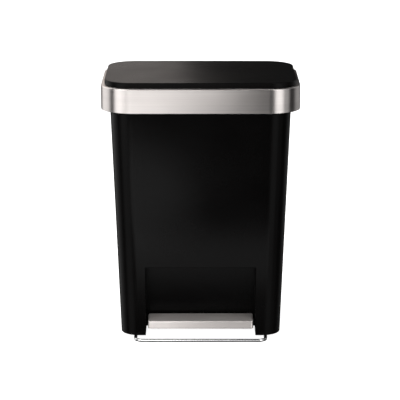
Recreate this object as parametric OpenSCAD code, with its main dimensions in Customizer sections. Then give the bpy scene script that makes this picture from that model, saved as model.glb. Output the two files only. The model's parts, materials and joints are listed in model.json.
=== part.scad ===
// Pedal bin: a tapered plastic body with a steel collar, a hinged lid and a foot pedal.
// The origin is on the floor at the centre of the bin's bounding box. The front faces -Y.

/* [Overall] */
// Height from the floor to the top of the closed lid
total_h = 550; // [500:1:620]
// Height of the body's bottom edge above the floor
ground_gap = 7.5; // [7.5:0.5:12]
// How far the hinge housing stands out behind the collar
housing_d = 16; // [16:1:24]

/* [Collar] */
// Width of the steel collar, the widest part of the bin
collar_w = 410; // [380:1:440]
// Depth of the steel collar, front to back
collar_d = 300; // [280:1:330]
// Radius of the collar's corners
collar_r = 66; // [60:1:74]
// Height of the collar band
collar_h = 50.5; // [48:0.5:60]
// Radius of the rolled top edge
roll_r = 2.6; // [2:0.1:4]
// Thickness of the steel sheet
sheet = 1.2; // [0.8:0.1:1.2]
// Width of the flange that the rolled edge ends in
collar_flange = 12; // [10:0.5:12]

/* [Body] */
// Width of the body at its mouth
mouth_w = 374; // [350:1:376]
// Depth of the body at its mouth
mouth_d = 264; // [250:1:266]
// Corner radius at the mouth
mouth_r = 48; // [44:1:52]
// Width of the body at the floor
base_w = 335; // [325:1:345]
// Depth of the body at the floor
base_d = 225; // [215:1:232]
// Corner radius at the floor
base_r = 40; // [36:1:44]
// Wall thickness
wall = 2.6; // [2:0.1:3]
// Height of the inside floor's underside
floor_z = 46; // [46:1:52]

/* [Toe recess] */
// Width of the recess above the pedal
recess_w = 230; // [226:1:236]
// Height of the recess's top edge above the floor
recess_top = 156; // [130:1:180]
// Where the recess's back wall stands
recess_back = -62; // [-66:1:-58]
// Height of the back wall's lower edge, behind the pedal
recess_low = 11; // [10:1:14]

/* [Lid] */
// How far the lid's edge is set in from the collar's outside
lid_inset = 7.5; // [7:0.1:9]
// Corner radius of the lid
lid_r = 58; // [54:1:62]
// Height of the lid's visible edge
lid_edge = 10.5; // [9:0.5:11]
// Thickness of the lid's walls
lid_wall = 2.4; // [2:0.1:2.5]
// Angle that the lid opens to
lid_open = 80; // [70:1:80]

/* [Pedal] */
// Width of the pedal plate
pedal_w = 221; // [210:1:221]
// Depth of the pedal plate
pedal_d = 58; // [50:1:58]
// Height of the pedal's front face
pedal_h = 17; // [14:1:17]
// Height of the pedal's top surface
pedal_top = 42; // [40:1:44]
// Where the pedal's front face stands
pedal_front = -130; // [-134:1:-126]
// Where the pedal lever turns
pivot_y = -30; // [-36:1:-24]
// Height of the lever's pivot
pivot_z = 24; // [23:1:25]

/* [Linkage] */
// Distance from the lid's hinge to the crank pin
crank_r = 20; // [19:0.5:20]
// Radius of the push rod, the pedal axle and the cross bars
rod_r = 4; // [3:0.5:4]
// Free space between the push rod's pad and the crank pin
pad_gap = 0.8; // [0.7:0.1:1.5]

/* [Wire foot] */
// Thickness of the wire
wire = 7; // [6:0.5:7]
// Overall width of the wire foot
wire_w = 280; // [270:1:284]
// Centre of the wire's front bar
wire_front = -142; // [-148:1:-138]
// Radius of the wire's corners
wire_corner = 15; // [12:1:20]

/* [Hidden] */

$fn = 64;
slice = 0.01;             // thickness of the slices that a tapered solid is hulled from
fit = 0.05;               // radial clearance of a running or seated round fit
cut = 20;                 // how far a cutting solid runs past what it cuts

// The collar's centre is set forward, so that the bounding box is centred on the origin.
centre_y = -housing_d / 2;
collar_top = total_h - 11.5;
collar_bottom = collar_top - collar_h;
mouth_z = collar_bottom + 17;
collar_back = centre_y + collar_d / 2;

lid_w = collar_w - 2 * lid_inset;
lid_d = collar_d - 2 * lid_inset;
lid_back = centre_y + lid_d / 2;
lid_under = total_h - lid_wall;
panel_h = 2.2;
panel_z = total_h - 8.5;

// The lid's hinge lies just behind the collar.
hinge_y = collar_back + 6;
hinge_z = total_h - 9;
pin_r = 3;
knuckle_r = 5.5;
housing_wall = 2.5;
arm_x = 35;
arm_w = 10;

// The crank pin swings equally far below and above the hinge's height.
crank_low = lid_open / 2;
crank_y = hinge_y - crank_r * cos(crank_low);
crank_z = hinge_z - crank_r * sin(crank_low);
rod_y = hinge_y - crank_r * (1 + cos(crank_low)) / 2;
rod_travel = 2 * crank_r * sin(crank_low);
pad_top = crank_z - rod_r - pad_gap;
pad_h = 6;
pad_r = 5.5;

// The lever's rear end rises by the rod's travel, half of it on each side of level.
lever_rear = rod_y - pivot_y;
lever_tilt = asin(rod_travel / 2 / lever_rear);
lever_h = 12;
lever_w = 4;
lever_x = 24;
lever_slot = [lever_w / 2 + 2, lever_h];   // half width, and height over the pivot
bar_z = pivot_z - lever_rear * tan(lever_tilt);
foot_gap = 0.4;           // free space between the cross bar and the push rod's foot
foot_bottom = bar_z + rod_r + foot_gap;
foot_h = 15;
bracket_x = 31;
bracket_w = 3;

channel_w = 68;
channel_back = collar_back - 1.5;
channel_wall = 2.5;
channel_ear = 12;
channel_gap = 0.2;        // between the body's sloping wall and the cover's ears
guide_h = 12;

wire_arm_z = 14;          // height of the wire's arms where the clips hold them
wire_x = wire_w / 2 - wire / 2;
wire_lift = [wire_front + 30, wire_front + 50];
wire_end = -20;
clip_y = [-84, -38];
clip_size = [30, 14, 9];
rear_foot_x = wire_x - 8;
rear_foot_y = 66;

arm_h = 4;
bag_ring_lip = 2;         // how far the bag ring is set in from the mouth
bag_ring_wall = 9;
bag_ring_h = 3;
frame_h = 3;

screw_r = 1.75;
hole_r = screw_r + fit;
head_r = 3.5;
head_h = 2;

// ---- Shared shapes ----

// Rounded rectangle about the origin.
module rounded_rect(w, d, r) {
    square([w - 2 * r, d], center = true);
    square([w, d - 2 * r], center = true);
    for (sx = [-1, 1], sy = [-1, 1])
        translate([sx * (w / 2 - r), sy * (d / 2 - r)]) circle(r);
}

// Upright rounded block about the collar's centre line.
module rounded_block(w, d, r, z0, z1) {
    translate([0, centre_y, z0]) linear_extrude(z1 - z0) rounded_rect(w, d, r);
}

// Upright ring about the collar's centre line, with walls of the given thickness.
module rounded_ring(w, d, r, thick, z0, z1) {
    difference() {
        rounded_block(w, d, r, z0, z1);
        rounded_block(w - 2 * thick, d - 2 * thick, r - thick, z0 - 1, z1 + 1);
    }
}

// Upright block with the mouth's outline, set in by a distance.
module mouth_block(inset, z0, z1) {
    rounded_block(mouth_w - 2 * inset, mouth_d - 2 * inset, mouth_r - inset, z0, z1);
}

// The body's outline at a height, set in by a distance.
function along(z, low, high) = low + (high - low) * (z - ground_gap) / (mouth_z - ground_gap);
module body_slice(z, inset) {
    translate([0, centre_y, z])
        linear_extrude(slice)
            rounded_rect(along(z, base_w, mouth_w) - 2 * inset,
                         along(z, base_d, mouth_d) - 2 * inset,
                         along(z, base_r, mouth_r) - inset);
}

// Tapered solid that follows the body between two heights.
module body_taper(z0, z1, inset) {
    hull() {
        body_slice(z0, inset);
        body_slice(z1 - slice, inset);
    }
}

// Where the body's rear wall stands at a height.
function rear_wall(z) = centre_y + along(z, base_d, mouth_d) / 2;

// Sweeps a profile, drawn with x as the distance outwards from the corners' centres,
// round the collar's outline.
module round_collar(w, d, r) {
    for (sx = [-1, 1], sy = [-1, 1])
        translate([sx * (w / 2 - r), centre_y + sy * (d / 2 - r), 0])
            rotate(sx > 0 ? (sy > 0 ? 0 : -90) : (sy > 0 ? 90 : 180))
                rotate_extrude(angle = 90) children();
    for (side = [0, 180])
        translate([0, centre_y, 0]) rotate(side) {
            translate([w / 2 - r, d / 2 - r, 0])
                rotate([90, 0, 0]) linear_extrude(d - 2 * r) children();
            translate([-w / 2 + r, d / 2 - r, 0])
                rotate([90, 0, 90]) linear_extrude(w - 2 * r) children();
        }
}

// Cylinder along X between two places.
module bar_x(x0, x1, y, z, r) {
    translate([x0, y, z]) rotate([0, 90, 0]) cylinder(h = x1 - x0, r = r);
}

// Block given by its two corners.
module block(low, high) {
    translate(low) cube(high - low);
}

// Screw whose head rests on the origin and whose shank points down.
module screw(length) {
    cylinder(h = head_h, r = head_r);
    translate([0, 0, -length]) cylinder(h = length + slice, r = screw_r);
}

// Copies its children to both sides of the bin.
module both_sides() {
    children();
    mirror([1, 0, 0]) children();
}

// ---- Where the screws go ----

module at_bracket_screws() {
    both_sides()
        for (y = [-8, 8])
            translate([bracket_x + bracket_w + 9, pivot_y + y, floor_z - 2.5]) rotate([180, 0, 0]) children();
}

module at_hinge_screws() {
    both_sides()
        for (x = [58, 82])
            translate([x, collar_back - sheet - 2.1, mouth_z + 10]) rotate([90, 0, 0]) children();
}

module at_collar_screws() {
    both_sides()
        for (y = [-70, 70])
            translate([mouth_w / 2 + 4, centre_y + y, mouth_z + frame_h]) children();
}

module at_channel_screws() {
    both_sides()
        for (z = [120, 400])
            translate([(channel_w + channel_ear) / 2, rear_wall(z) + channel_gap, z])
                rotate([-90, 0, 0]) children();
}

module at_clip_screws() {
    both_sides()
        for (y = clip_y, x = [-10, 10])
            translate([wire_x + x, y, wire_arm_z - clip_size.z / 2]) rotate([180, 0, 0]) children();
}

module at_lid_screws() {
    both_sides()
        for (y = [86, 100])
            translate([arm_x, y, hinge_z - 1]) rotate([180, 0, 0]) children();
}

// Cross pins on the lever's centre line, which lock its arms in the pedal.
module pedal_pin_bars(r) {
    for (side = [-1, 1], y = [pedal_front + 18, pedal_front + 44])
        bar_x(side * lever_x - 8, side * lever_x + 8, y, pivot_z + (pivot_y - y) * tan(lever_tilt), r);
}

// ---- Body ----

module body_shell() {
    recess_x = recess_w / 2;
    color("#17171a") difference() {
        union() {
            difference() {
                body_taper(ground_gap, mouth_z, 0);
                body_taper(floor_z + wall, mouth_z + 2, wall);
                body_taper(ground_gap - 2, floor_z, wall);
            }
            // Walls of the toe recess.
            intersection() {
                body_taper(ground_gap, mouth_z, 0);
                block([-recess_x - wall, -collar_d, floor_z],
                      [recess_x + wall, recess_back + wall, recess_top + wall]);
            }
            // Side walls of the recess below the inside floor.
            intersection() {
                body_taper(ground_gap, mouth_z, 0);
                both_sides()
                    block([recess_x, -collar_d, ground_gap], [recess_x + wall, recess_back, floor_z]);
            }
            // Back wall of the recess below the inside floor, behind the pedal.
            block([-recess_x - wall, recess_back, recess_low],
                  [recess_x + wall, recess_back + wall, floor_z + wall]);
            // Posts for the wire's clips and for the rear feet.
            both_sides() {
                for (y = clip_y)
                    block([wire_x - clip_size.x / 2, y - clip_size.y / 2, wire_arm_z + clip_size.z / 2],
                          [wire_x + clip_size.x / 2, y + clip_size.y / 2, floor_z + 1]);
                translate([rear_foot_x, rear_foot_y, ground_gap])
                    cylinder(h = floor_z - ground_gap + 1, r = 13);
            }
            // Bosses inside the rear wall for the channel cover's screws.
            at_channel_screws() translate([0, 0, -11]) cylinder(h = 9, r = 5);
            // Bosses under the collar's frame.
            at_collar_screws() translate([0, 0, -frame_h - 16]) cylinder(h = 16, r = 5);
        }
        block([-recess_x, -collar_d, ground_gap - 1], [recess_x, recess_back, recess_top]);
        // Slots in the back wall for the lever's arms.
        both_sides()
            block([lever_x - lever_slot.x, recess_back - 1, recess_low - 1],
                  [lever_x + lever_slot.x, recess_back + wall + 1, pivot_z + lever_slot.y]);
        // Way out for the pedal lever, into the rear channel.
        block([-channel_w / 2 + channel_wall, rear_foot_y, ground_gap - 1],
              [channel_w / 2 - channel_wall, collar_back, floor_z]);
        at_bracket_screws() translate([0, 0, -4.5]) cylinder(h = cut, r = hole_r);
        at_clip_screws() translate([0, 0, -25]) cylinder(h = 25 + cut, r = hole_r);
        at_channel_screws() translate([0, 0, -9.5]) cylinder(h = cut, r = hole_r);
        at_collar_screws() translate([0, 0, -frame_h - 13]) cylinder(h = cut, r = hole_r);
        both_sides() translate([rear_foot_x, rear_foot_y, ground_gap - 1]) cylinder(h = 9, r = 4 + fit);
    }
}
module rear_feet() {
    color("#26262a") both_sides() translate([rear_foot_x, rear_foot_y, 0]) {
        cylinder(h = 2, r1 = 9.5, r2 = 11);
        translate([0, 0, 2]) cylinder(h = ground_gap - 2, r = 11);
        translate([0, 0, ground_gap - slice]) cylinder(h = 7, r = 4);
    }
}

// ---- Collar and mouth ----

// Section of the collar's sheet: a wall, a rolled top edge, a flange and a turned-in hem.
module collar_profile() {
    difference() {
        union() {
            translate([collar_r - sheet, collar_bottom]) square([sheet, collar_h - roll_r]);
            translate([collar_r - roll_r, collar_top - roll_r]) intersection() {
                circle(roll_r);
                square(roll_r);
            }
            translate([collar_r - roll_r - collar_flange, collar_top - sheet])
                square([collar_flange, sheet]);
            translate([collar_r - 3 * sheet, collar_bottom]) square([3 * sheet, sheet]);
        }
        translate([collar_r - roll_r, collar_top - roll_r]) intersection() {
            circle(roll_r - sheet);
            translate([-1, -1]) square(roll_r);
        }
    }
}

module collar_band() {
    color("#b9b5ae") difference() {
        round_collar(collar_w, collar_d, collar_r) collar_profile();
        // Gap in the rear flange for the crank and the push rod.
        block([-15, collar_back - 22, collar_top - 9], [15, collar_back - 2.5, collar_top + 1]);
        at_hinge_screws() translate([0, 0, -cut]) cylinder(h = 2 * cut, r = hole_r);
    }
}

module collar_frame() {
    outer_w = collar_w - 2 * sheet - 0.2;
    outer_d = collar_d - 2 * sheet - 0.2;
    outer_r = collar_r - sheet - 0.1;
    color("#1b1b1e") difference() {
        union() {
            rounded_block(outer_w, outer_d, outer_r, mouth_z, mouth_z + frame_h);
            rounded_ring(outer_w, outer_d, outer_r, 2, mouth_z, collar_top - roll_r - 0.3);
            // Skirt that the body's mouth sits in.
            mouth_block(-2.2, mouth_z - 9, mouth_z + 1);
        }
        mouth_block(-0.2, mouth_z - 10, mouth_z);
        mouth_block(bag_ring_wall - 1, mouth_z - 1, mouth_z + frame_h + 1);
        at_collar_screws() translate([0, 0, -frame_h - cut]) cylinder(h = cut, r = 5.2);
        translate([0, rod_y, mouth_z - cut]) cylinder(h = 2 * cut, r = pad_r + 1);
        at_collar_screws() translate([0, 0, -frame_h - 1]) cylinder(h = cut, r = hole_r);
        at_hinge_screws() translate([0, 0, -cut]) cylinder(h = 2 * cut, r = hole_r);
    }
}

module bag_ring() {
    color("#222226") {
        low = mouth_z + frame_h;
        difference() {
            union() {
                mouth_block(bag_ring_lip, low, low + bag_ring_h);
                mouth_block(bag_ring_wall, low - 27, low + 1);
            }
            mouth_block(bag_ring_wall + 2, low - 28, low + bag_ring_h + 1);
        }
    }
}

// ---- Lid hinge ----

module hinge_housing() {
    half_w = 92;
    low = mouth_z - 7;
    front_top = hinge_z - knuckle_r - 2.5;
    inner_back = collar_back + housing_d - housing_wall;
    arm_edge = arm_x + arm_w / 2 + 1;
    cheek_w = 4;
    color("#1b1b1e") difference() {
        union() {
            difference() {
                block([-half_w, collar_back, low],
                      [half_w, collar_back + housing_d, hinge_z + knuckle_r - 0.5]);
                block([-half_w + housing_wall, collar_back + housing_wall, low + housing_wall],
                      [half_w - housing_wall, inner_back, hinge_z + cut]);
                block([-half_w - 1, collar_back - 1, front_top],
                      [half_w + 1, collar_back + housing_wall + 0.1, hinge_z + cut]);
            }
            // Cheeks that carry the hinge pin, on both sides of each lid arm.
            both_sides()
                for (x = [2 * arm_x - arm_edge - cheek_w, arm_edge]) {
                    block([x, collar_back + 1, low + 1], [x + cheek_w, inner_back + 1, hinge_z]);
                    bar_x(x, x + cheek_w, hinge_y, hinge_z, knuckle_r);
                }
            at_hinge_screws() translate([0, 0, -14]) cylinder(h = 14 - sheet - 2.2, r = 4.5);
        }
        block([-half_w, collar_back - cut, low - 1], [half_w, collar_back, hinge_z + cut]);
        bar_x(-half_w + 10, half_w - 10, hinge_y, hinge_z, pin_r + fit);
        at_hinge_screws() translate([0, 0, -12.5]) cylinder(h = 12.5 + cut, r = hole_r);
    }
}

module hinge_pin() {
    reach = arm_x + arm_w / 2 + 7;
    color("silver") bar_x(-reach, reach, hinge_y, hinge_z, pin_r);
}

module hinge_screws() {
    color("silver") at_hinge_screws() screw(12);
}

// ---- Rear channel and push rod guides ----

module rear_channel_cover() {
    low = ground_gap + 1;
    high = collar_bottom - 1.5;
    side = [
        [rear_wall(low) + channel_gap, low],
        [channel_back, low],
        [channel_back, high],
        [rear_wall(high) + channel_gap, high]
    ];
    ear = [
        [rear_wall(low) + channel_gap, low],
        [rear_wall(low) + channel_gap + channel_wall, low],
        [rear_wall(high) + channel_gap + channel_wall, high],
        [rear_wall(high) + channel_gap, high]
    ];
    color("#1b1b1e") difference() {
        union() {
            both_sides()
                translate([channel_w / 2 - channel_wall, 0, 0])
                    rotate([90, 0, 90]) linear_extrude(channel_wall) polygon(side);
            block([-channel_w / 2, channel_back - channel_wall, low], [channel_w / 2, channel_back, high]);
            // Ears along both sides, which lie on the body's sloping wall.
            both_sides()
                translate([channel_w / 2 - channel_wall, 0, 0])
                    rotate([90, 0, 90]) linear_extrude(channel_wall + channel_ear) polygon(ear);
        }
        at_channel_screws() translate([0, 0, -cut]) cylinder(h = 2 * cut, r = hole_r);
    }
}

module channel_screws() {
    color("silver") at_channel_screws() translate([0, 0, channel_wall + 0.15]) screw(11);
}

// Block on the channel cover's inside with a bore that guides the push rod.
module rod_guide(z) {
    half_w = channel_w / 2 - channel_wall;
    color("#2b2b30") difference() {
        block([-half_w, rod_y - rod_r - 2.3, z], [half_w, channel_back - channel_wall, z + guide_h]);
        translate([0, rod_y, z - 1]) cylinder(h = guide_h + 2, r = rod_r + fit);
    }
}

module upper_rod_guide() { rod_guide(collar_bottom - 26); }

module lower_rod_guide() { rod_guide(80); }

// ---- Pedal mounting ----

module axle_bracket() {
    bottom_r = 9;
    color("#8d8f92") difference() {
        union() {
            bar_x(bracket_x, bracket_x + bracket_w, pivot_y, pivot_z, bottom_r);
            block([bracket_x, pivot_y - bottom_r, pivot_z],
                  [bracket_x + bracket_w, pivot_y + bottom_r, floor_z]);
            block([bracket_x, pivot_y - 14, floor_z - 2.5],
                  [bracket_x + bracket_w + 18, pivot_y + 14, floor_z]);
        }
        bar_x(bracket_x - 1, bracket_x + bracket_w + 1, pivot_y, pivot_z, rod_r + fit);
        at_bracket_screws() translate([0, 0, -cut]) cylinder(h = 2 * cut, r = hole_r);
    }
}

module axle_bracket_right() { axle_bracket(); }

module axle_bracket_left() { mirror([1, 0, 0]) axle_bracket(); }

module pedal_axle() {
    reach = bracket_x + bracket_w + 4;
    color("silver") bar_x(-reach, reach, pivot_y, pivot_z, rod_r);
}

module axle_clips() {
    color("silver") both_sides() difference() {
        bar_x(bracket_x + bracket_w + 0.5, bracket_x + bracket_w + 1.7, pivot_y, pivot_z, rod_r + 3);
        bar_x(bracket_x, bracket_x + bracket_w + 3, pivot_y, pivot_z, rod_r + fit);
    }
}

module bracket_screws() {
    color("silver") at_bracket_screws() screw(4.3);
}

module lever_bumpers() {
    y = -50;
    top_of_lever = pivot_z + (pivot_y - y) * tan(lever_tilt) + lever_h / 2 / cos(lever_tilt);
    color("#2c2c2c") both_sides()
        block([lever_x - 6, y - 5, top_of_lever + 0.9], [lever_x + 6, y + 5, floor_z]);
}

// ---- Wire foot ----

module wire_foot() {
    r = wire / 2;
    corner_x = wire_x - wire_corner;
    corner_y = wire_front + wire_corner;
    rise = wire_arm_z - r;
    run = wire_lift[1] - wire_lift[0];
    color("silver") {
        bar_x(-corner_x, corner_x, wire_front, r, r);
        both_sides() {
            translate([corner_x, corner_y, r])
                rotate(-90) rotate_extrude(angle = 90) translate([wire_corner, 0]) circle(r);
            translate([wire_x, corner_y, r])
                rotate([-90, 0, 0]) cylinder(h = wire_lift[0] - corner_y, r = r);
            translate([wire_x, wire_lift[0], r]) {
                sphere(r);
                rotate([-90 + atan2(rise, run), 0, 0]) cylinder(h = norm([rise, run]), r = r);
            }
            translate([wire_x, wire_lift[1], wire_arm_z]) {
                sphere(r);
                rotate([-90, 0, 0]) cylinder(h = wire_end - wire_lift[1], r = r);
            }
        }
    }
}

module wire_clips() {
    color("#2b2b30") difference() {
        both_sides()
            for (y = clip_y)
                translate([wire_x, y, wire_arm_z]) cube(clip_size, center = true);
        both_sides()
            translate([wire_x, wire_lift[1], wire_arm_z])
                rotate([-90, 0, 0]) cylinder(h = wire_end - wire_lift[1] + cut, r = wire / 2 + fit);
        at_clip_screws() translate([0, 0, -cut]) cylinder(h = 2 * cut, r = hole_r);
    }
}

module wire_clip_screws() {
    color("silver") at_clip_screws() screw(20);
}

module collar_screws() {
    color("silver") at_collar_screws() screw(12);
}

// ---- Lid ----

module lid_shell() {
    color("#141416") difference() {
        union() {
            difference() {
                rounded_block(lid_w, lid_d, lid_r, total_h - lid_edge, total_h);
                rounded_block(lid_w - 2 * lid_wall, lid_d - 2 * lid_wall, lid_r - lid_wall,
                              total_h - lid_edge - 1, lid_under);
            }
            // Bosses that the hinge arms are screwed to.
            at_lid_screws() translate([0, 0, -lid_under + hinge_z - 1.1])
                cylinder(h = lid_under - hinge_z + 1.1 - arm_h, r = 4);
        }
        at_lid_screws() translate([0, 0, -lid_under + hinge_z - 1]) cylinder(h = cut, r = hole_r);
        // Notches in the rear edge for the hinge arms.
        both_sides()
            block([arm_x - arm_w / 2 - 0.3, lid_back - 10, total_h - lid_edge - 1],
                  [arm_x + arm_w / 2 + 0.3, lid_back + 1, hinge_z + knuckle_r + 0.3]);
    }
}

module lid_inner_panel() {
    gap = lid_wall + 0.3;
    color("#1e1e21") difference() {
        rounded_block(lid_w - 2 * gap, lid_d - 2 * gap, lid_r - gap, panel_z, panel_z + panel_h);
        // Openings for the crank and for the hinge arms.
        block([-14, lid_back - 26, panel_z - 1], [14, lid_back + 1, panel_z + 5]);
        both_sides()
            block([arm_x - 8, 78, panel_z - 1], [arm_x + 8, lid_back + 1, panel_z + 5]);
    }
}

// Bumpers under the lid, over the collar's flange and clear of the lid's walls.
module lid_bumpers() {
    bumper_r = 3.5;
    bumper_gap = 0.3;
    inset = lid_wall + bumper_r + 0.6;
    side_x = lid_w / 2 - inset;
    front_y = centre_y - lid_d / 2 + inset;
    color("#2c2c2c") both_sides()
        for (place = [[side_x, -60], [side_x, 60], [90, front_y]])
            translate([place.x, place.y, collar_top + bumper_gap])
                cylinder(h = panel_z - collar_top - bumper_gap, r = bumper_r);
}

module lid_arm(side) {
    x = side * arm_x;
    color("#26262a") difference() {
        union() {
            block([x - arm_w / 2, 80, hinge_z - 1], [x + arm_w / 2, lid_back, hinge_z - 1 + arm_h]);
            block([x - arm_w / 2, lid_back - lid_wall - 1, hinge_z - 1],
                  [x + arm_w / 2, hinge_y, hinge_z + knuckle_r]);
            bar_x(x - arm_w / 2, x + arm_w / 2, hinge_y, hinge_z, knuckle_r);
        }
        bar_x(x - arm_w, x + arm_w, hinge_y, hinge_z, pin_r + fit);
        at_lid_screws() translate([0, 0, -cut]) cylinder(h = 2 * cut, r = hole_r);
    }
}

module lid_arm_left() { lid_arm(-1); }

module lid_arm_right() { lid_arm(1); }

module lid_crank() {
    base_low = lid_under - 2.5;
    cheek = [
        [lid_back - 20, base_low + 0.1],
        [lid_back - lid_wall - 0.5, base_low + 0.1],
        [lid_back - lid_wall - 0.5, collar_top - 1.5],
        [crank_y + 4.2, crank_z + 2.8],
        [crank_y - 4.2, crank_z - 2.6]
    ];
    color("#8d8f92") difference() {
        union() {
            block([-12, lid_back - 22, base_low], [12, lid_back - lid_wall - 0.5, lid_under]);
            both_sides() translate([7, 0, 0]) rotate([90, 0, 90]) linear_extrude(3) {
                polygon(cheek);
                translate([crank_y, crank_z]) circle(5);
            }
        }
        bar_x(-cut, cut, crank_y, crank_z, rod_r - 1 + fit);
    }
}

// Stepped pin: its ends sit in the crank's cheeks and its middle presses on the rod's pad.
module crank_pin() {
    color("silver") {
        bar_x(-10.5, 10.5, crank_y, crank_z, rod_r - 1);
        bar_x(-6.6, 6.6, crank_y, crank_z, rod_r);
    }
}

module lid_screws() {
    color("silver") at_lid_screws() screw(7);
}

// ---- Push rod ----

module push_rod() {
    color("silver") translate([0, rod_y, foot_bottom + 5])
        cylinder(h = pad_top - 2.5 - foot_bottom - 5, r = rod_r);
}

module rod_pad() {
    color("#e8e6df") translate([0, rod_y, pad_top - pad_h]) difference() {
        cylinder(h = pad_h, r = pad_r);
        translate([0, 0, -1]) cylinder(h = pad_h - 2.5 + 1, r = rod_r);
    }
}

module rod_foot() {
    color("#e8e6df") difference() {
        block([-9, rod_y - 6, foot_bottom], [9, rod_y + 6, foot_bottom + foot_h]);
        translate([0, rod_y, foot_bottom + 5]) cylinder(h = foot_h, r = rod_r);
    }
}

// ---- Pedal ----

module pedal_plate() {
    corner = 5;
    low = pedal_top - pedal_h;
    color("#c4c1bb") translate([0, pedal_front + pedal_d / 2, low]) difference() {
        linear_extrude(pedal_h) rounded_rect(pedal_w, pedal_d, corner);
        translate([0, 0, -1]) linear_extrude(pedal_h - sheet + 1)
            rounded_rect(pedal_w - 2 * sheet, pedal_d - 2 * sheet, corner - sheet);
        // The plate has no lip at the rear.
        block([-pedal_w, pedal_d / 2 - corner, -1], [pedal_w, pedal_d / 2 + 1, pedal_h - sheet]);
    }
}

module pedal_core() {
    gap = sheet + 0.1;
    low = pedal_top - pedal_h + 1.5;
    top = pedal_top - sheet;
    color("#1b1b1e") difference() {
        translate([0, pedal_front + pedal_d / 2, low]) linear_extrude(top - low)
            rounded_rect(pedal_w - 2 * gap, pedal_d - 2 * gap, 5 - gap);
        // Grooves for the lever arms.
        both_sides()
            block([lever_x - lever_w / 2 - 0.2, pedal_front + 6, low - 1],
                  [lever_x + lever_w / 2 + 0.2, pedal_front + pedal_d + 1, top - 1]);
        // Hollows between the ribs.
        both_sides()
            for (x = [lever_x + 16, lever_x + 44], y = [0, 1])
                translate([x, pedal_front + 5 + y * 25, low - 1])
                    cube([x < 60 ? 26 : 36, 22, top - low - 1.5]);
        pedal_pin_bars(pin_r - 1 + fit);
    }
}

// Flat bar from the pedal, over the axle, to the rear cross bar.
module lever_arm(side) {
    front_reach = pivot_y - pedal_front - 8;
    rear_reach = lever_rear / cos(lever_tilt) + 6;
    color("#8d8f92") difference() {
        translate([side * lever_x, pivot_y, pivot_z]) rotate([-lever_tilt, 0, 0])
            translate([-lever_w / 2, -front_reach, -lever_h / 2])
                cube([lever_w, front_reach + rear_reach, lever_h]);
        bar_x(-50, 50, pivot_y, pivot_z, rod_r + fit);
        bar_x(-50, 50, rod_y, bar_z, rod_r + fit);
        pedal_pin_bars(pin_r - 1 + fit);
    }
}

module lever_arm_left() { lever_arm(-1); }

module lever_arm_right() { lever_arm(1); }

module lever_cross_bar() {
    reach = lever_x + lever_w / 2 + 1.5;
    color("silver") bar_x(-reach, reach, rod_y, bar_z, rod_r);
}

module pedal_pins() {
    color("silver") pedal_pin_bars(pin_r - 1);
}

body_shell();
collar_band();
collar_frame();
bag_ring();
hinge_housing();
hinge_pin();
rear_channel_cover();
upper_rod_guide();
lower_rod_guide();
axle_bracket_left();
axle_bracket_right();
pedal_axle();
axle_clips();
lever_bumpers();
wire_foot();
wire_clips();
wire_clip_screws();
bracket_screws();
collar_screws();
hinge_screws();
channel_screws();
rear_feet();
lid_shell();
lid_inner_panel();
lid_bumpers();
lid_arm_left();
lid_arm_right();
lid_crank();
crank_pin();
lid_screws();
push_rod();
rod_pad();
rod_foot();
pedal_plate();
pedal_core();
lever_arm_left();
lever_arm_right();
lever_cross_bar();
pedal_pins();
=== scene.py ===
"""Looks of a pedal bin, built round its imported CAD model.

The frame gives the sizes and places in metres: the front faces -Y and the floor is z = 0. The body, the
collar, the lid, the pedal and the wire foot are built here in mesh code. The smaller parts take their
shape from the CAD, with softened edges. Every piece has a node-based material.
"""

import json
import math

import bmesh
import bpy
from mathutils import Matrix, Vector

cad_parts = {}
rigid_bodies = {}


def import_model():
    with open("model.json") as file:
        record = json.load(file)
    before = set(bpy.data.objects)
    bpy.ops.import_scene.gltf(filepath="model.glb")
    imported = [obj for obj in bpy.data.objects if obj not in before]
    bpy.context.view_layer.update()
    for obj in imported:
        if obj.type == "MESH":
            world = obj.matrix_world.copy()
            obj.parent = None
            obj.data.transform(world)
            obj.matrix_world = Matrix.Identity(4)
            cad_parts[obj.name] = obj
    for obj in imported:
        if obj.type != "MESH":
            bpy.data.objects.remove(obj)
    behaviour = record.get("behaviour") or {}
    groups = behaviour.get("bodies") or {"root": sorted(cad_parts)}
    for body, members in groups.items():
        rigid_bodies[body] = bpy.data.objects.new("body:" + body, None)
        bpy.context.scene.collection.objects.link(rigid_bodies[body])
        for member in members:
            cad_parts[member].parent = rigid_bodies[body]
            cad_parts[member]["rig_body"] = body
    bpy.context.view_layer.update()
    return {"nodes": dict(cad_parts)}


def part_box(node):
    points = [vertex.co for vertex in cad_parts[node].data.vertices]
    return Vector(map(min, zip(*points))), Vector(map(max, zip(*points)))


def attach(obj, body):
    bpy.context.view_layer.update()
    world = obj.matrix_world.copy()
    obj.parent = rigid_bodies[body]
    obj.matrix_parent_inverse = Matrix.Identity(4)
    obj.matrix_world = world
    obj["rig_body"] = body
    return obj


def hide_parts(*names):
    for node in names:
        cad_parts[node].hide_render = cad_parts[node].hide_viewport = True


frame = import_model()

MM = 0.001
CORNER_STEPS = 14        # faces round a quarter turn of an outline
BEND_STEPS = 5           # faces round a bent edge of a sheet

band_low, band_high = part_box("collar_band")
body_low, body_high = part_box("body_shell")
lid_low, lid_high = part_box("lid_shell")
plate_low, plate_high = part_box("pedal_plate")
wire_low, wire_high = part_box("wire_foot")
CENTRE_Y = (band_low.y + band_high.y) / 2

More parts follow.
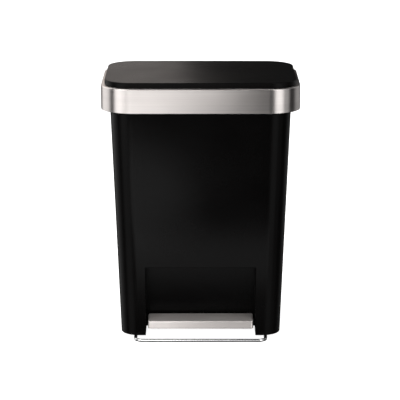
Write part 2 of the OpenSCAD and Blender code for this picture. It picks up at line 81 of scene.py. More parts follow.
# Sizes that the CAD source holds and that a node's box doesn't give.
BASE_SIZE = (335 * MM, 225 * MM, 40 * MM)       # width, depth and corner radius at the body's foot
MOUTH_SIZE = (374 * MM, 264 * MM, 48 * MM)      # and at its mouth
BODY_WALL = 2.6 * MM
FLOOR_Z = 46 * MM
RECESS_HALF = 115 * MM
RECESS_TOP = 156 * MM
RECESS_BACK = -62 * MM
BACK_WALL_LOW = 11 * MM                         # lower edge of the recess's back wall
LEVER_SLOTS = (20 * MM, 28 * MM)                # sides of the slots for the lever's arms
LEVER_SLOT_TOP = 36 * MM
SLOT_HALF = 31.5 * MM
COLLAR_RADIUS = 66 * MM
SHEET = 1.2 * MM
ROLL_RADIUS = 2.6 * MM
COLLAR_FLANGE = 12 * MM
COLLAR_HEM = 2.4 * MM
NOTCH_HALF = 15 * MM
LID_RADIUS = 58 * MM
LID_WALL = 2.4 * MM
ARM_SLOTS = (29.7 * MM, 40.3 * MM)
ARM_SLOT_TOP = 546.8 * MM
PEDAL_CORNER = 5 * MM
WIRE_RADIUS = 3.5 * MM
WIRE_CORNER = 15 * MM
WIRE_LIFT = (-112 * MM, -92 * MM)               # where the wire's arms start and stop rising
REAR_POST = (128.5 * MM, 66 * MM)               # centre of a rear foot's post
REAR_POST_RADIUS = 13 * MM
CLIP_SIZE = (30 * MM, 14 * MM)                  # width and depth of a clip that holds the wire
COLLAR_BOSS_X = 191 * MM                        # places and size of the bosses under the collar's frame
COLLAR_BOSS_Y = (-78 * MM, 62 * MM)
COLLAR_BOSS_HEIGHT = 16 * MM
COLLAR_BOSS_RADIUS = 5 * MM
LID_BOSS_X = 35 * MM                            # places and size of the bosses that hold the hinge arms
LID_BOSS_Y = (86 * MM, 100 * MM)
LID_BOSS_RADIUS = 4 * MM

# Details that only the looks have.
RIB_HEIGHT = 14 * MM
RIB_HALF = 1 * MM
RIB_INNER_X = SLOT_HALF + 2 * MM
RIB_OUTER_X = 84 * MM
RIB_END_X = 162 * MM
RIB_MIDDLE_Y = 34 * MM
LID_FILLET = 2.2 * MM
PEDAL_BEND = 2.6 * MM
HEM_BEND = 0.9 * MM
HEM_CHAMFER = 0.29                              # share of the hem's bend that is cut off at 45 degrees
WIRE_BEND = 8 * MM


# ---- Mesh helpers ----

def outline(size, z, front=(), back=(), centre_y=CENTRE_Y):
    """Points of a rounded rectangle (width, depth, radius), counter-clockwise from its front side."""
    width, depth, radius = size
    inner_x, inner_y = width / 2 - radius, depth / 2 - radius
    points = [(x, -depth / 2) for x in front]
    corners = [(inner_x, -inner_y), (inner_x, inner_y), (-inner_x, inner_y), (-inner_x, -inner_y)]
    for turn, (x, y) in enumerate(corners):
        if turn == 2:
            points += [(place, depth / 2) for place in back]
        for step in range(CORNER_STEPS + 1):
            angle = math.pi / 2 * (turn - 1 + step / CORNER_STEPS)
            points.append((x + radius * math.cos(angle), y + radius * math.sin(angle)))
    return [Vector((x, centre_y + y, z)) for x, y in points]


def inset(size, distance):
    """The rounded rectangle that lies a distance inside another."""
    width, depth, radius = size
    return width - 2 * distance, depth - 2 * distance, radius - distance


def bend(radius, low_z):
    """(inset, height) of the points round a bent top edge."""
    turns = [math.pi / 2 * step / BEND_STEPS for step in range(BEND_STEPS + 1)]
    return [(radius * (1 - math.cos(turn)), low_z + radius * math.sin(turn)) for turn in turns]


def loft(rings):
    """Skin over rings that have the same number of points, with its faces outwards."""
    bm = bmesh.new()
    rows = [[bm.verts.new(point) for point in ring] for ring in rings]
    for low, high in zip(rows, rows[1:]):
        for here in range(len(low)):
            there = (here + 1) % len(low)
            bm.faces.new((low[here], low[there], high[there], high[here]))
    return bm, rows


def cut_away(bm, test):
    """Deletes the faces whose centre passes the test."""
    gone = [face for face in bm.faces if test(face.calc_center_median())]
    bmesh.ops.delete(bm, geom=gone, context="FACES")


def thicken(bm, thickness):
    """Turns a sheet into a wall that grows inwards from it."""
    mesh = bpy.data.meshes.new("sheet")
    bm.to_mesh(mesh)
    bm.free()
    thing = bpy.data.objects.new("sheet", mesh)
    bpy.context.scene.collection.objects.link(thing)
    wall = thing.modifiers.new("wall", "SOLIDIFY")
    wall.thickness = thickness
    wall.offset = -1
    wall.use_even_offset = True
    evaluated = thing.evaluated_get(bpy.context.evaluated_depsgraph_get())
    solid = bmesh.new()
    solid.from_mesh(evaluated.to_mesh())
    bpy.data.objects.remove(thing)
    return solid


def add_prism(bm, outline_points, shift):
    """Closed prism from a flat outline and the vector that it is drawn along."""
    low = [bm.verts.new(point) for point in outline_points]
    high = [bm.verts.new(Vector(point) + Vector(shift)) for point in outline_points]
    faces = [bm.faces.new(low[::-1]), bm.faces.new(high)]
    for here in range(len(low)):
        there = (here + 1) % len(low)
        faces.append(bm.faces.new((low[here], low[there], high[there], high[here])))
    bmesh.ops.recalc_face_normals(bm, faces=faces)


def add_block(bm, low, high):
    """Closed block between two corners."""
    corners = [(low[0], low[1]), (high[0], low[1]), (high[0], high[1]), (low[0], high[1])]
    add_prism(bm, [(x, y, low[2]) for x, y in corners], (0, 0, high[2] - low[2]))


def add_post(bm, x, y, low_z, high_z, radius, steps=24):
    """Closed upright cylinder."""
    turns = [2 * math.pi * step / steps for step in range(steps)]
    ring = [(x + radius * math.cos(turn), y + radius * math.sin(turn), low_z) for turn in turns]
    add_prism(bm, ring, (0, 0, high_z - low_z))


def lathe(bm, place, axis, profile, steps=24):
    """Solid of revolution. The profile holds (radius, distance along the axis) from one end to the other."""
    turn = Vector((0, 0, 1)).rotation_difference(Vector(axis)).to_matrix()
    rings = []
    for radius, along in profile:
        ring = []
        for step in range(steps):
            angle = 2 * math.pi * step / steps
            point = Vector((radius * math.cos(angle), radius * math.sin(angle), along))
            ring.append(bm.verts.new(Vector(place) + turn @ point))
        rings.append(ring)
    faces = [bm.faces.new(rings[0][::-1])]
    for low, high in zip(rings, rings[1:]):
        for here in range(steps):
            there = (here + 1) % steps
            faces.append(bm.faces.new((low[here], low[there], high[there], high[here])))
    return rings[-1], faces, turn


def rounded_path(corners, radii):
    """Points of a line whose inner corners are rounded with the radii."""
    points = [Vector(corners[0])]
    for before, corner, after, radius in zip(corners, corners[1:], corners[2:], radii):
        corner = Vector(corner)
        back, ahead = (Vector(before) - corner).normalized(), (Vector(after) - corner).normalized()
        half = back.angle(ahead) / 2
        centre = corner + (back + ahead).normalized() * radius / math.sin(half)
        start = (corner + back * radius / math.tan(half) - centre).normalized()
        stop = (corner + ahead * radius / math.tan(half) - centre).normalized()
        steps = max(4, round(math.degrees(math.pi - 2 * half) / 6))
        points += [centre + start.slerp(stop, step / steps) * radius for step in range(steps + 1)]
    return points + [Vector(corners[-1])]


def tube(bm, path, radius, steps=20):
    """Closed round bar that follows a path."""
    tangents = [(b - a).normalized() for a, b in zip(path, path[1:])]
    tangents = [tangents[0]] + [(a + b).normalized() for a, b in zip(tangents, tangents[1:])] + [tangents[-1]]
    side = tangents[0].orthogonal().normalized()
    rings = []
    for point, tangent in zip(path, tangents):
        side = (side - tangent * side.dot(tangent)).normalized()
        up = tangent.cross(side)
        turns = [2 * math.pi * step / steps for step in range(steps)]
        rings.append([bm.verts.new(point + (side * math.cos(turn) + up * math.sin(turn)) * radius)
                      for turn in turns])
    for low, high in zip(rings, rings[1:]):
        for here in range(steps):
            there = (here + 1) % steps
            bm.faces.new((low[here], low[there], high[there], high[here]))
    bm.faces.new(rings[0][::-1])
    bm.faces.new(rings[-1])


def make_piece(name, bm, material, body, slot, *nodes, width=0.6 * MM, segments=3, limit=35):
    """Makes an object of the mesh, rounds its sharp edges, and puts it on its CAD body."""
    mesh = bpy.data.meshes.new(name)
    bm.normal_update()
    bm.to_mesh(mesh)
    bm.free()
    for polygon in mesh.polygons:
        polygon.use_smooth = True
    mesh.set_sharp_from_angle(angle=math.radians(limit))
    mesh.materials.append(material)
    piece = bpy.data.objects.new(name, mesh)
    bpy.context.scene.collection.objects.link(piece)
    if width:
        edge = piece.modifiers.new("rounded_edges", "BEVEL")
        edge.width = width
        edge.segments = segments
        edge.limit_method = "ANGLE"
        edge.angle_limit = math.radians(limit)
        edge.harden_normals = True
    normals = piece.modifiers.new("flat_faces", "WEIGHTED_NORMAL")
    normals.keep_sharp = True
    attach(piece, body)
    if nodes:
        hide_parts(*nodes)
    return piece


def from_cad(node, name, material, slot, width=0.4 * MM):
    """Piece with a CAD node's own shape, cleaned to whole faces and with softened edges."""
    bm = bmesh.new()
    bm.from_mesh(frame["nodes"][node].data)
    bmesh.ops.remove_doubles(bm, verts=bm.verts, dist=1e-6)
    bmesh.ops.dissolve_limit(bm, angle_limit=math.radians(0.5), verts=bm.verts, edges=bm.edges)
    bmesh.ops.recalc_face_normals(bm, faces=bm.faces)
    body = frame["nodes"][node]["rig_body"]
    return make_piece(name, bm, material, body, slot, node, width=width, segments=2)


# ---- Material helpers ----

class Shader:
    """A new material's node tree, with short calls that add and join nodes."""

    def __init__(self, name):
        self.material = bpy.data.materials.new(name)
        self.material.use_nodes = True
        self.tree = self.material.node_tree
        self.surface = self.tree.nodes["Principled BSDF"]
        self.place = self.add("ShaderNodeTexCoord").outputs["Object"]

    def add(self, kind, **settings):
        node = self.tree.nodes.new(kind)
        for key, value in settings.items():
            setattr(node, key, value)
        return node

    def join(self, source, target):
        self.tree.links.new(source, target)

    def constants(self, **values):
        """Sets numbers and colours on the shader's own sockets."""
        for key, value in values.items():
            self.surface.inputs[key.replace("_", " ")].default_value = value

    def noise(self, stretch, detail=3.0, roughness=0.5):
        """Noise over the object's own coordinates, with so many waves a metre along X, Y and Z."""
        mapping = self.add("ShaderNodeMapping")
        mapping.inputs["Scale"].default_value = stretch
        self.join(self.place, mapping.inputs["Vector"])
        noise = self.add("ShaderNodeTexNoise")
        noise.inputs["Scale"].default_value = 1
        noise.inputs["Detail"].default_value = detail
        noise.inputs["Roughness"].default_value = roughness
        self.join(mapping.outputs["Vector"], noise.inputs["Vector"])
        return noise.outputs["Fac"]

    def spread(self, value, low, high, start=0.3, stop=0.7):
        """Maps a value from one range to another."""
        node = self.add("ShaderNodeMapRange")
        for socket, number in zip(("From Min", "From Max", "To Min", "To Max"), (start, stop, low, high)):
            node.inputs[socket].default_value = number
        self.join(value, node.inputs["Value"])
        return node.outputs["Result"]

    def math(self, operation, first, second):
        node = self.add("ShaderNodeMath", operation=operation)
        for socket, value in zip(node.inputs, (first, second)):
            if isinstance(value, (int, float)):
                socket.default_value = value
            else:
                self.join(value, socket)
        return node.outputs["Value"]

    def colours(self, value, stops):
        """Colour ramp over a value: a list of (place, colour)."""
        ramp = self.add("ShaderNodeValToRGB")
        elements = ramp.color_ramp.elements
        while len(elements) < len(stops):
            elements.new(1)
        for element, (place, colour) in zip(elements, stops):
            element.position = place
            element.color = (*colour, 1)
        self.join(value, ramp.inputs["Fac"])
        return ramp.outputs["Color"]

    def bumps(self, *layers):
        """Stacks bump maps: each layer is a height from 0 to 1 and its depth in metres."""
        normal = None
        for height, depth in layers:
            bump = self.add("ShaderNodeBump")
            bump.inputs["Distance"].default_value = depth
            self.join(height, bump.inputs["Height"])
            if normal is not None:
                self.join(normal, bump.inputs["Normal"])
            normal = bump.outputs["Normal"]
        self.join(normal, self.surface.inputs["Normal"])

    def edges(self, start=0.52, stop=0.6):
        """1 on sharp outer edges and 0 elsewhere."""
        pointiness = self.add("ShaderNodeNewGeometry").outputs["Pointiness"]
        return self.spread(pointiness, 0, 1, start, stop)


def scale_colour(colour, factor):
    return tuple(channel * factor for channel in colour)


def moulded_plastic(name, colour, roughness, specular, grain=1800, depth=0.03 * MM, wear=1.6):
    """Injection-moulded plastic: fine spark-eroded grain, slow sink marks, cloudy gloss and rubbed edges."""
    shader = Shader(name)
    clouds = shader.noise((9, 9, 9), 4)
    fine = shader.noise((grain, grain, grain), 2)
    tint = shader.spread(clouds, 0, 0.75)
    shader.join(
        shader.colours(
            shader.math("ADD", tint, shader.math("MULTIPLY", shader.edges(), 0.25)),
            [(0, scale_colour(colour, 0.85)), (0.75, scale_colour(colour, 1.15)),
             (1, scale_colour(colour, wear))],
        ),
        shader.surface.inputs["Base Color"],
    )
    gloss = shader.math("ADD", shader.spread(clouds, -0.03, 0.03), shader.spread(fine, -0.02, 0.02))
    shader.join(shader.math("ADD", gloss, roughness), shader.surface.inputs["Roughness"])
    shader.constants(Specular_IOR_Level=specular)
    shader.bumps((shader.noise((14, 14, 14), 1), 0.15 * MM), (fine, depth))
    return shader.material


def brushed_steel(name, colour, stretch, tangent, rotation, roughness=0.34):
    """Stainless sheet with fine brushing that runs along the axes where the stretch is small."""
    shader = Shader(name)
    hairs = shader.noise(stretch, 5, 0.65)
    streaks = shader.noise(tuple(wave / 7 for wave in stretch), 2)
    clouds = shader.noise((5, 5, 5), 3)
    tone = shader.math("ADD", shader.math("MULTIPLY", hairs, 0.5), shader.math("MULTIPLY", streaks, 0.5))
    shader.join(
        shader.colours(tone, [(0.3, scale_colour(colour, 0.9)), (0.7, scale_colour(colour, 1.07))]),
        shader.surface.inputs["Base Color"],
    )
    rough = shader.math("ADD", shader.spread(hairs, -0.05, 0.06), shader.spread(clouds, -0.02, 0.02))
    shader.join(shader.math("ADD", rough, roughness), shader.surface.inputs["Roughness"])
    shader.constants(Metallic=1.0, Anisotropic=0.85, Anisotropic_Rotation=rotation)
    direction = shader.add("ShaderNodeTangent", direction_type="RADIAL", axis=tangent)
    shader.join(direction.outputs["Tangent"], shader.surface.inputs["Tangent"])
    shader.bumps((hairs, 0.004 * MM))
    return shader.material


def plain_metal(name, colour, roughness, grain, depth):
    """Drawn, plated or pressed metal with a light grain and faint staining."""
    shader = Shader(name)
    stains = shader.noise((40, 40, 40), 4)
    fine = shader.noise(grain, 3)
    shader.join(
        shader.colours(stains, [(0.3, scale_colour(colour, 0.88)), (0.7, colour)]),
        shader.surface.inputs["Base Color"],
    )
    rough = shader.math("ADD", shader.spread(stains, -0.03, 0.05), shader.spread(fine, -0.02, 0.03))
    shader.join(shader.math("ADD", rough, roughness), shader.surface.inputs["Roughness"])
    shader.constants(Metallic=1.0)
    shader.bumps((fine, depth))
    return shader.material


BLACK = moulded_plastic("satin_black_plastic", (0.0012, 0.0011, 0.0011), 0.24, 0.045)
LID_BLACK = moulded_plastic("lid_black_plastic", (0.0022, 0.0020, 0.0019), 0.30, 0.05, depth=0.015 * MM)
GREY = moulded_plastic("grey_plastic", (0.022, 0.022, 0.023), 0.5, 0.4)
NYLON = moulded_plastic("natural_nylon", (0.66, 0.63, 0.55), 0.42, 0.5, wear=1.2)
RUBBER = moulded_plastic("black_rubber", (0.012, 0.012, 0.012), 0.75, 0.25, 1100, 0.06 * MM, 2.0)
COLLAR_STEEL = brushed_steel("brushed_collar_steel", (0.64, 0.60, 0.58), (9, 9, 2200), "Z", 0.25)
PEDAL_STEEL = brushed_steel("brushed_pedal_steel", (0.64, 0.60, 0.58), (9, 2200, 2200), "X", 0.0, 0.40)
CHROME = plain_metal("chromed_wire", (0.62, 0.62, 0.62), 0.13, (90, 90, 90), 0.01 * MM)
PLAIN_STEEL = plain_metal("zinc_plated_steel", (0.50, 0.50, 0.49), 0.33, (900, 900, 900), 0.006 * MM)
SCREW_STEEL = plain_metal("screw_steel", (0.42, 0.41, 0.40), 0.3, (1500, 1500, 1500), 0.004 * MM)


# ---- Body ----

def body_size(z):
    """The body's outline at a height: it tapers evenly from its mouth to its foot."""
    share = (z - body_low.z) / (body_high.z - body_low.z)
    return tuple(low + (high - low) * share for low, high in zip(BASE_SIZE, MOUTH_SIZE))


def make_body():
    """Tapered wall, with the toe recess, the slots in its back wall and the lever's way out."""
    heights = [body_low.z, FLOOR_Z, RECESS_TOP, 0.28, 0.40, body_high.z]
    front, back = (-RECESS_HALF, RECESS_HALF), (SLOT_HALF, -SLOT_HALF)
    bm, rows = loft([outline(body_size(z), z, front, back) for z in heights])
    rim = {(column, row): rows[row][column] for column in (0, 1) for row in (0, 1, 2)}
    cut_away(bm, lambda c: c.y < RECESS_BACK and abs(c.x) < RECESS_HALF * 0.99 and c.z < RECESS_TOP)
    cut_away(bm, lambda c: c.y > 0 and abs(c.x) < SLOT_HALF and c.z < FLOOR_Z)
    near, far = LEVER_SLOTS
    columns = (-RECESS_HALF, -far, -near, near, far, RECESS_HALF)
    levels = (BACK_WALL_LOW, LEVER_SLOT_TOP, FLOOR_Z, RECESS_TOP)
    grid = [[bm.verts.new((x, RECESS_BACK, z)) for z in levels] for x in columns]
    for left, (here, there) in enumerate(zip(grid, grid[1:])):
        is_slot = left in (1, 3)
        for level in range(1 if is_slot else 0, len(levels) - 1):
            bm.faces.new((here[level], there[level], there[level + 1], here[level + 1]))
    for column, ends, flip in ((0, grid[0], 1), (1, grid[-1], -1)):
        foot = bm.verts.new((rim[column, 0].co.x, RECESS_BACK, body_low.z))
        low_side = [rim[column, 0], foot, *ends[:3], rim[column, 1]]
        high_side = [rim[column, 1], ends[2], ends[3], rim[column, 2]]
        bm.faces.new(low_side[::flip])
        bm.faces.new(high_side[::flip])
    bm.faces.new([rim[0, 2], *(column[-1] for column in grid), rim[1, 2]])
    solid = thicken(bm, BODY_WALL)
    return make_piece("body_wall", solid, BLACK, "bin", "black_plastic", "body_shell", width=1.0 * MM)


def make_underside():
    """Inside floor with its ribs, and the posts for the wire's clips, the rear feet and the collar."""
    bm = bmesh.new()
    ring = outline(inset(body_size(FLOOR_Z), BODY_WALL / 2), FLOOR_Z)
    edge_y = RECESS_BACK + BODY_WALL / 2
    notch_x = RECESS_HALF + BODY_WALL / 2
    floor = [point for point in ring if point.y > edge_y or abs(point.x) > notch_x]
    front_y = min(point.y for point in ring)
    split = next(i for i, point in enumerate(floor) if point.x > 0)
    notch = [Vector((x, y, FLOOR_Z)) for x, y in
             ((-notch_x, front_y), (-notch_x, edge_y), (notch_x, edge_y), (notch_x, front_y))]
    add_prism(bm, floor[split:] + floor[:split] + notch, (0, 0, BODY_WALL))
    rib_low = FLOOR_Z - RIB_HEIGHT
    rear_x, rear_y = REAR_POST
    for side in (-1, 1):
        for x in (RIB_INNER_X, RIB_OUTER_X):
            middle = side * x
            add_block(bm, (middle - RIB_HALF, 0.0, rib_low),
                      (middle + RIB_HALF, rear_y + RIB_MIDDLE_Y, FLOOR_Z))
        for y in (0.0, RIB_MIDDLE_Y, rear_y):
            ends = sorted((side * RIB_INNER_X, side * RIB_END_X))
            add_block(bm, (ends[0], y - RIB_HALF, rib_low), (ends[1], y + RIB_HALF, FLOOR_Z))
        add_post(bm, side * rear_x, rear_y, body_low.z, FLOOR_Z + 1 * MM, REAR_POST_RADIUS)
        for y in COLLAR_BOSS_Y:
            add_post(bm, side * COLLAR_BOSS_X, y, body_high.z - COLLAR_BOSS_HEIGHT, body_high.z,
                     COLLAR_BOSS_RADIUS)
    clip_low, clip_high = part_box("wire_clips")
    for side in (-1, 1):
        left, right = sorted((side * clip_high.x, side * (clip_high.x - CLIP_SIZE[0])))
        for front in (clip_low.y, clip_high.y - CLIP_SIZE[1]):
            add_block(bm, (left, front, clip_high.z), (right, front + CLIP_SIZE[1], FLOOR_Z + 1 * MM))
    return make_piece("body_floor", bm, BLACK, "bin", "black_plastic", "body_shell",
                      width=0.5 * MM, segments=2)


def make_collar():
    """Band with a rolled top edge, a flange under the lid and a turned-in hem."""
    size = (band_high.x - band_low.x, band_high.y - band_low.y, COLLAR_RADIUS)
    nick = HEM_BEND * HEM_CHAMFER
    profile = [(SHEET + COLLAR_HEM, band_low.z), (HEM_BEND, band_low.z), (nick, band_low.z + nick),
               (0, band_low.z + HEM_BEND), (0, (band_low.z + band_high.z) / 2)]
    profile += bend(ROLL_RADIUS, band_high.z - ROLL_RADIUS)
    profile.append((ROLL_RADIUS + COLLAR_FLANGE, band_high.z))
    back = (NOTCH_HALF, -NOTCH_HALF)
    bm, _ = loft([outline(inset(size, distance), z, (), back) for distance, z in profile])
    deepest = band_high.y - 2 * SHEET
    roll_low = band_high.z - ROLL_RADIUS
    cut_away(bm, lambda c: abs(c.x) < NOTCH_HALF and 0 < c.y < deepest and c.z > roll_low)
    solid = thicken(bm, SHEET)
    return make_piece("collar_sheet", solid, COLLAR_STEEL, "bin", "collar_steel", "collar_band",
                      width=0.25 * MM, segments=2, limit=50)


# ---- Lid ----

def make_lid():
    """Lid moulding with a rounded top edge and slots in its rear for the hinge arms."""
    size = (lid_high.x - lid_low.x, lid_high.y - lid_low.y, LID_RADIUS)
    profile = [(0, lid_low.z), (0, ARM_SLOT_TOP)] + bend(LID_FILLET, lid_high.z - LID_FILLET)
    profile.append((14 * MM, lid_high.z))
    near, far = ARM_SLOTS
    back = (far, near, -near, -far)
    bm, rows = loft([outline(inset(size, distance), z, (), back) for distance, z in profile])
    bm.faces.new(rows[-1])
    cut_away(bm, lambda c: near < abs(c.x) < far and c.y > 0 and c.z < ARM_SLOT_TOP)
    solid = thicken(bm, LID_WALL)
    lid_screw_low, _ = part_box("lid_screws")
    for side in (-1, 1):
        for y in LID_BOSS_Y:
            add_post(solid, side * LID_BOSS_X, y, lid_screw_low.z + 4 * MM, lid_high.z - LID_WALL / 2,
                     LID_BOSS_RADIUS)
    return make_piece("lid_cover", solid, LID_BLACK, "lid", "lid_plastic", "lid_shell",
                      width=0.5 * MM, limit=50)


# ---- Pedal ----

def make_pedal():
    """Pedal plate, bent down at the front and both ends, with a short lip at the rear."""
    size = (plate_high.x - plate_low.x, plate_high.y - plate_low.y, PEDAL_CORNER)
    middle_y = (plate_low.y + plate_high.y) / 2
    bend_low = plate_high.z - PEDAL_BEND
    profile = [(0, plate_low.z)] + bend(PEDAL_BEND, bend_low)
    bm, rows = loft([outline(inset(size, distance), z, (), (), middle_y) for distance, z in profile])
    bm.faces.new(rows[-1])
    lip_y = plate_high.y - PEDAL_CORNER
    cut_away(bm, lambda c: c.y > lip_y and c.z < bend_low)
    solid = thicken(bm, SHEET)
    return make_piece("pedal_cover", solid, PEDAL_STEEL, "pedal", "pedal_steel", "pedal_plate",
                      width=0.3 * MM, segments=2, limit=50)


# ---- Wire foot ----

def make_wire():
    """Chromed wire, bent round the front and up to its clips."""
    radius = WIRE_RADIUS
    arm_x = wire_high.x - radius
    arm_z = wire_high.z - radius
    front_y = wire_low.y + radius
    side = [(arm_x, wire_high.y, arm_z), (arm_x, WIRE_LIFT[1], arm_z), (arm_x, WIRE_LIFT[0], radius),
            (arm_x, front_y, radius)]
    corners = side + [(-x, y, z) for x, y, z in reversed(side)]
    bends = [WIRE_BEND, WIRE_BEND, WIRE_CORNER]
    bm = bmesh.new()
    tube(bm, rounded_path(corners, bends + bends[::-1]), radius)
    return make_piece("wire_stand", bm, CHROME, "bin", "wire_chrome", "wire_foot", width=0.5 * MM, limit=50)


# ---- Screws ----

def loose_boxes(node):
    """(lowest corner, highest corner) of each separate solid in a CAD node."""
    bm = bmesh.new()
    bm.from_mesh(frame["nodes"][node].data)
    bmesh.ops.remove_doubles(bm, verts=bm.verts, dist=1e-6)
    left, found = set(bm.verts), []
    while left:
        stack, island = [left.pop()], []
        while stack:
            vert = stack.pop()
            island.append(vert.co)
            for edge in vert.link_edges:
                other = edge.other_vert(vert)
                if other in left:
                    left.remove(other)
                    stack.append(other)
        found.append(tuple(
            Vector(pick(point[k] for point in island) for k in range(3)) for pick in (min, max)
        ))
    bm.free()
    return sorted(found, key=lambda box: tuple(box[0]))


def make_screws(node, name, axis, head=3.5 * MM, shank=1.75 * MM, head_height=2 * MM):
    """Pan-head screws with a cross recess, where the CAD node's screws are. The axis points to the head."""
    axis = Vector(axis)
    bm = bmesh.new()
    for low, high in loose_boxes(node):
        middle, half = (low + high) / 2, (high - low) / 2
        reach = abs(half.dot(axis))
        seat = middle + axis * (reach - head_height)
        length = 2 * reach - head_height
        profile = [(shank * 0.7, -length), (shank, -length + 0.6 * MM), (shank, 0), (head, 0),
                   (head, head_height * 0.45), (head * 0.88, head_height * 0.8), (head * 0.66, head_height)]
        ring, _, turn = lathe(bm, seat, axis, profile)
        wing, root = head * 0.5, head * 0.13
        cross = [(wing, -root), (wing, root), (root, root), (root, wing), (-root, wing), (-root, root),
                 (-wing, root), (-wing, -root), (-root, -root), (-root, -wing), (root, -wing), (root, -root)]
        rim = [bm.verts.new(seat + turn @ Vector((x, y, head_height))) for x, y in cross]
        pit = [bm.verts.new(seat + turn @ Vector((x * 0.8, y * 0.8, head_height * 0.35))) for x, y in cross]
        edges = [bm.edges.new((rim[k - 1], rim[k])) for k in range(len(rim))]
        edges += [bm.edges.get((ring[k - 1], ring[k])) for k in range(len(ring))]
        bmesh.ops.triangle_fill(bm, use_beauty=True, edges=edges)
        for here in range(len(rim)):
            bm.faces.new((rim[here - 1], rim[here], pit[here], pit[here - 1]))
        bm.faces.new(pit)
    bmesh.ops.recalc_face_normals(bm, faces=bm.faces)
    body = frame["nodes"][node]["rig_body"]
    return make_piece(name, bm, SCREW_STEEL, body, "screw_steel", node, width=0)


make_body()
make_underside()
make_collar()
make_lid()
make_pedal()
make_wire()

# CAD node: name of its piece, material, the record's slot and how wide its edges are rounded.
CAD_SHAPES = {
    "collar_frame": ("collar_support", BLACK, "black_plastic", 0.3 * MM),
    "bag_ring": ("bag_holder", BLACK, "black_plastic", 0.5 * MM),
    "hinge_housing": ("hinge_cover", BLACK, "black_plastic", 0.8 * MM),
    "rear_channel_cover": ("channel_cover", BLACK, "black_plastic", 0.8 * MM),
    "hinge_pin": ("hinge_axle", PLAIN_STEEL, "plain_steel", 0.4 * MM),
    "upper_rod_guide": ("upper_guide", GREY, "grey_plastic", 0.5 * MM),
    "lower_rod_guide": ("lower_guide", GREY, "grey_plastic", 0.5 * MM),
    "axle_bracket_left": ("bracket_left", PLAIN_STEEL, "plain_steel", 0.3 * MM),
    "axle_bracket_right": ("bracket_right", PLAIN_STEEL, "plain_steel", 0.3 * MM),
    "pedal_axle": ("axle_bar", PLAIN_STEEL, "plain_steel", 0.4 * MM),
    "axle_clips": ("retaining_clips", PLAIN_STEEL, "plain_steel", 0.15 * MM),
    "lever_bumpers": ("lever_stops", RUBBER, "rubber", 0.6 * MM),
    "wire_clips": ("wire_holders", GREY, "grey_plastic", 0.6 * MM),
    "rear_feet": ("rear_pads", RUBBER, "rubber", 0.5 * MM),
    "lid_inner_panel": ("lid_liner", BLACK, "black_plastic", 0.4 * MM),
    "lid_bumpers": ("lid_stops", RUBBER, "rubber", 0.5 * MM),
    "lid_arm_left": ("arm_left", GREY, "grey_plastic", 0.5 * MM),
    "lid_arm_right": ("arm_right", GREY, "grey_plastic", 0.5 * MM),
    "lid_crank": ("crank", PLAIN_STEEL, "plain_steel", 0.3 * MM),
    "crank_pin": ("crank_bar", PLAIN_STEEL, "plain_steel", 0.2 * MM),
    "push_rod": ("lift_rod", PLAIN_STEEL, "plain_steel", 0.4 * MM),
    "rod_pad": ("lift_rod_pad", NYLON, "nylon", 0.6 * MM),
    "rod_foot": ("lift_rod_foot", NYLON, "nylon", 0.8 * MM),
    "pedal_core": ("pedal_filler", BLACK, "black_plastic", 0.5 * MM),
    "lever_arm_left": ("lever_left", PLAIN_STEEL, "plain_steel", 0.4 * MM),
    "lever_arm_right": ("lever_right", PLAIN_STEEL, "plain_steel", 0.4 * MM),
    "lever_cross_bar": ("lever_bar", PLAIN_STEEL, "plain_steel", 0.4 * MM),
    "pedal_pins": ("lever_pins", SCREW_STEEL, "screw_steel", 0.2 * MM),
}
for node, (name, material, slot, width) in CAD_SHAPES.items():
    from_cad(node, name, material, slot, width)

for node, name, axis in (
    ("channel_screws", "cover_screws", (0, 1, 0)),
    ("hinge_screws", "housing_screws", (0, -1, 0)),
    ("collar_screws", "support_screws", (0, 0, 1)),
    ("wire_clip_screws", "holder_screws", (0, 0, -1)),
    ("bracket_screws", "axle_screws", (0, 0, -1)),
    ("lid_screws", "arm_screws", (0, 0, -1)),
):
    make_screws(node, name, axis)


# ---- Floor, lights and camera ----

def make_floor():
    mesh = bpy.data.meshes.new("floor")
    half = 9
    corners = [(-half, -half, 0), (half, -half, 0), (half, half, 0), (-half, half, 0)]
    mesh.from_pydata(corners, [], [(0, 1, 2, 3)])
    shader = Shader("pale_floor")
    shader.constants(Base_Color=(0.8, 0.8, 0.8, 1), Roughness=0.9, Emission_Color=(1, 1, 1, 1),
                     Emission_Strength=0.95)
    mesh.materials.append(shader.material)
    floor = bpy.data.objects.new("floor", mesh)
    bpy.context.scene.collection.objects.link(floor)
    floor.visible_glossy = False


def area_light(name, place, target, size, power, shape="RECTANGLE", colour=(1, 1, 1)):
    """Soft lamp that points at a target."""
    data = bpy.data.lights.new(name, "AREA")
    data.shape = shape
    data.size, data.size_y = size
    data.energy = power
    data.color = colour
    lamp = bpy.data.objects.new(name, data)
    bpy.context.scene.collection.objects.link(lamp)
    lamp.location = place
    lamp.rotation_euler = (Vector(target) - Vector(place)).to_track_quat("-Z", "Y").to_euler()
    lamp.visible_camera = False
    return lamp


# Softboxes that stand round the bin. Each has its azimuth from the front, where left is positive, and its
# half width, both in degrees, and its brightness.
SOFTBOXES = (
    (50, 25, 3.0),
    (116, 34, 1.8),
    (-40, 22, 2.8),
    (-70, 13, 0.8),
    (-132, 30, 0.5),
)
FILL_LIGHT = 0.04
HORIZON = (-35, -8)      # elevations in degrees between which the softboxes fade in


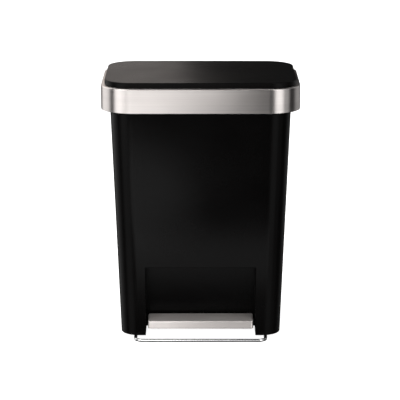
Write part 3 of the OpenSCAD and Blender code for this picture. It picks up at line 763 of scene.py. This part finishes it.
def make_world():
    """White for the camera. Reflections see the softboxes, as bands that fade out below the horizon."""
    world = bpy.data.worlds.new("studio")
    bpy.context.scene.world = world
    world.use_nodes = True
    tree = world.node_tree
    tree.nodes.clear()

    def operation(kind, *values):
        node = tree.nodes.new("ShaderNodeMath")
        node.operation = kind
        for socket, value in zip(node.inputs, values):
            if isinstance(value, (int, float)):
                socket.default_value = value
            else:
                tree.links.new(value, socket)
        return node.outputs["Value"]

    def ease(value, start, stop, top):
        node = tree.nodes.new("ShaderNodeMapRange")
        node.interpolation_type = "SMOOTHSTEP"
        for socket, number in zip(("From Min", "From Max", "To Max"), (start, stop, top)):
            node.inputs[socket].default_value = number
        tree.links.new(value, node.inputs["Value"])
        return node.outputs["Result"]

    split = tree.nodes.new("ShaderNodeSeparateXYZ")
    tree.links.new(tree.nodes.new("ShaderNodeTexCoord").outputs["Generated"], split.inputs[0])
    x, y, z = split.outputs
    level = operation("SQRT", operation("ADD", operation("MULTIPLY", x, x), operation("MULTIPLY", y, y)))
    bands = FILL_LIGHT
    for azimuth, half_width, brightness in SOFTBOXES:
        turn, edge = math.radians(azimuth), math.radians(half_width)
        along = operation("ADD", operation("MULTIPLY", x, -math.sin(turn)),
                          operation("MULTIPLY", y, -math.cos(turn)))
        facing = operation("DIVIDE", along, level)
        bands = operation("ADD", ease(facing, math.cos(edge), math.cos(edge * 0.3), brightness), bands)
    low, high = (math.sin(math.radians(angle)) for angle in HORIZON)
    light = operation("MULTIPLY", bands, ease(z, low, high, 1.0))
    seen = tree.nodes.new("ShaderNodeLightPath").outputs["Is Camera Ray"]
    background = tree.nodes.new("ShaderNodeBackground")
    reflected = operation("MULTIPLY", light, operation("SUBTRACT", 1.0, seen))
    tree.links.new(operation("ADD", reflected, seen), background.inputs["Strength"])
    output = tree.nodes.new("ShaderNodeOutputWorld")
    tree.links.new(background.outputs["Background"], output.inputs["Surface"])


# The front box lights the collar, the low one the pedal and the round one the body's left side. The one
# behind gives the lid its sheen.
make_floor()
make_world()
area_light("front_box", (-0.31, -1.0, 0.66), (-0.31, 0.0, 0.50), (0.8, 0.6), 2.85)
area_light("low_front_box", (0.05, -0.42, 0.07), (0.05, 0.0, 0.04), (0.5, 0.12), 0.42)
area_light("round_box", (-0.24, -0.70, 0.14), (-0.24, 0.0, 0.16), (0.44, 0.27), 1.05, "ELLIPSE")
area_light("rear_left_box", (-0.60, 1.1, 1.10), (0, 0, 0.55), (1.4, 1.0), 3.2, colour=(1.0, 0.92, 0.87))

# The camera looks at the front from a little above, with a long lens.
CAMERA_PLACE = (0, -4.094, 1.235)
CAMERA_TILT = 0.2311     # radians below the horizon
CAMERA_LENS = 177.6
CAMERA_SHIFT = -0.0015

camera = bpy.data.cameras.new("camera")
camera.sensor_width = 36
camera.lens = CAMERA_LENS
camera.shift_x = CAMERA_SHIFT
viewpoint = bpy.data.objects.new("camera", camera)
bpy.context.scene.collection.objects.link(viewpoint)
viewpoint.location = CAMERA_PLACE
viewpoint.rotation_euler = (math.pi / 2 - CAMERA_TILT, 0, 0)
bpy.context.scene.camera = viewpoint
bpy.context.scene.view_settings.view_transform = "Standard"
